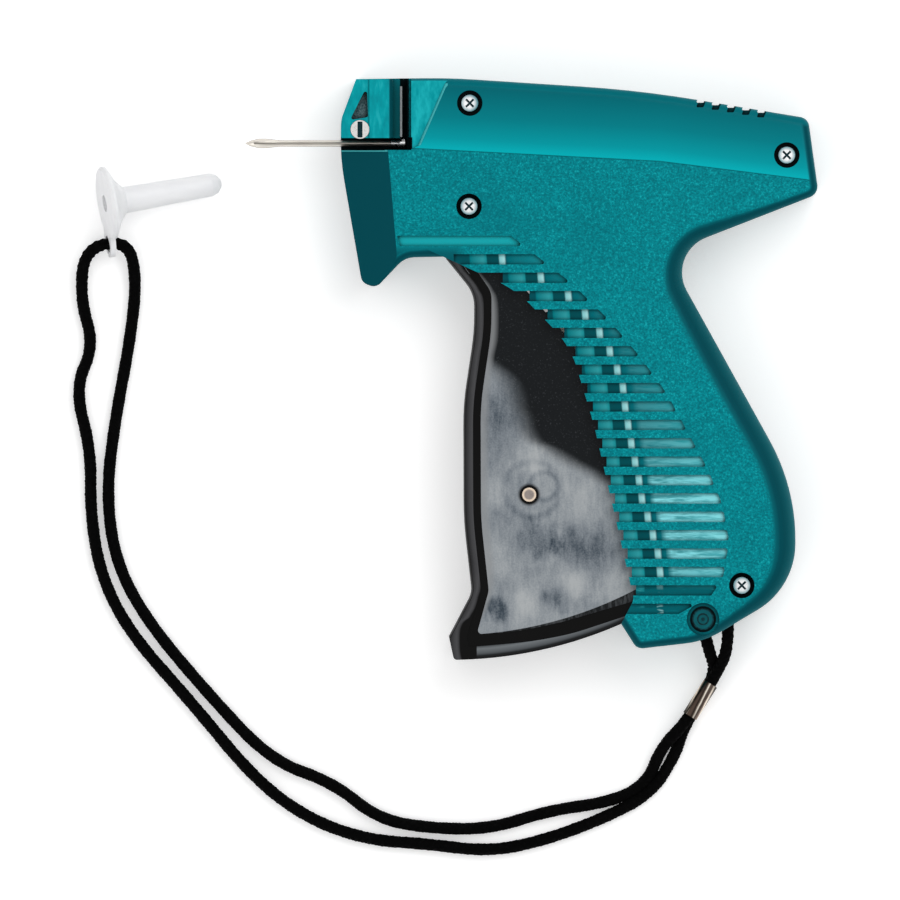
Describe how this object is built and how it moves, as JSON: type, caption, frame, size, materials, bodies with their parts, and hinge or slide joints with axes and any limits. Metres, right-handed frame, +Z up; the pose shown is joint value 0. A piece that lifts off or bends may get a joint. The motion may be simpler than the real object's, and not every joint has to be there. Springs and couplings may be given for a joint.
{
  "type": "garment tag attacher",
  "caption": "Pistol-shaped tagging gun in teal plastic with a black trigger, a hollow steel needle, and a braided wrist cord that carries the needle's cap.",
  "frame": {"origin": "on the surface that the gun lies on, under the middle of the gun without its cord, cap and ferrule", "axes": "+X from the needle towards the back of the gun, +Y from the foot of the grip towards the top of the barrel, +Z up through the gun from its right side to its left side"},
  "size_m": [0.1922, 0.2005, 0.0261],
  "materials": {
    "housing_teal": "satin",
    "trigger_black": "gloss",
    "steel": "satin",
    "zinc": "bright",
    "brass": "satin",
    "nylon": "satin",
    "cap_clear": "satin",
    "cord_black": "matte"
  },
  "bodies": {
    "housing": {"left_housing": "housing_teal", "right_housing": "housing_teal", "needle_head": "housing_teal", "needle": "steel", "needle_foot": "zinc", "knife": "steel", "feed_axle": "steel", "pawl_pin": "steel", "rod_guide": "nylon", "lever_pivot_pin": "steel", "trigger_pivot_pin": "steel", "spring_anchor_pin": "steel", "return_spring": "steel", "housing_screws": "zinc", "lanyard_post": "housing_teal", "wrist_cord": "cord_black", "cord_ferrule": "brass", "needle_cap": "cap_clear"},
    "trigger": {"trigger": "trigger_black", "link_pin": "brass"},
    "drive_lever": {"drive_lever": "steel"},
    "slide": {"slide_block": "nylon", "slide_pin": "steel", "push_rod": "steel"},
    "feed_wheel": {"feed_wheel": "nylon"},
    "feed_pawl": {"feed_pawl": "nylon"},
    "needle_lock": {"needle_lock": "zinc"}
  },
  "joints": [
    {"name": "trigger_pull", "type": "hinge", "parent": "housing", "child": "trigger", "pos_m": [-0.0209, 0.0345, 0.013], "axis": [0, 0, 1], "range_deg": [0, 23], "stiffness_Nm_per_rad": 1.5, "springref_deg": -17.19},
    {"name": "lever_swing", "type": "hinge", "parent": "housing", "child": "drive_lever", "pos_m": [0.0294, 0.0183, 0.013], "axis": [0, 0, 1], "range_deg": [0, 54.8], "deforming": ["return_spring"]},
    {"name": "slide_stroke", "type": "slide", "parent": "housing", "child": "slide", "axis": [-1, 0, 0], "range_m": [0, 0.04051]},
    {"name": "feed_wheel_spin", "type": "hinge", "parent": "housing", "child": "feed_wheel", "pos_m": [-0.0263, 0.064, 0.008], "axis": [1, 0, 0], "continuous": true},
    {"name": "feed_pawl_rock", "type": "hinge", "parent": "housing", "child": "feed_pawl", "pos_m": [-0.0248, 0.07, 0.0049], "axis": [1, 0, 0], "range_deg": [0, 10], "stiffness_Nm_per_rad": 0.01},
    {"name": "needle_lock_turn", "type": "hinge", "parent": "housing", "child": "needle_lock", "pos_m": [-0.0441, 0.0617, 0.0225], "axis": [0, 0, 1], "range_deg": [0, 90]}
  ],
  "couplings": [
    {"joint": "lever_swing", "follows": "trigger_pull", "ratio": 2.3808},
    {"joint": "slide_stroke", "follows": "trigger_pull", "m_per_rad": 0.10089}
  ]
}
